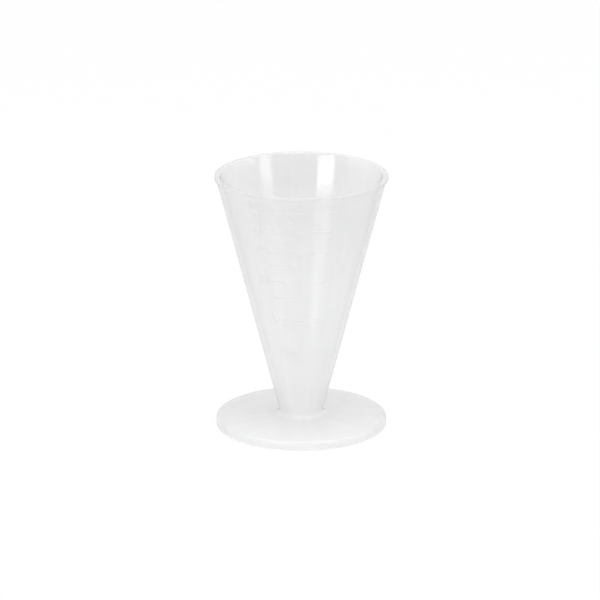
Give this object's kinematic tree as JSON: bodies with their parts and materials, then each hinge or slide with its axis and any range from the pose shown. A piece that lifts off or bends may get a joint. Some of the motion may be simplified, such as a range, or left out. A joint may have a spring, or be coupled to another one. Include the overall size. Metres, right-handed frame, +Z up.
{
  "type": "medicine cup",
  "caption": "Conical translucent plastic medicine measure on a round foot, open at the top, with raised volume lines.",
  "frame": {"origin": "centre of the foot, on the plane that the foot stands on", "axes": "+Z up along the cone's axis, towards the rim; -Y towards the side with the raised lines"},
  "size_m": [0.052, 0.052, 0.0784],
  "materials": {
    "plastic": "milky, see-through, as moulded"
  },
  "bodies": {
    "root": {"cup": "plastic"}
  },
  "joints": []
}
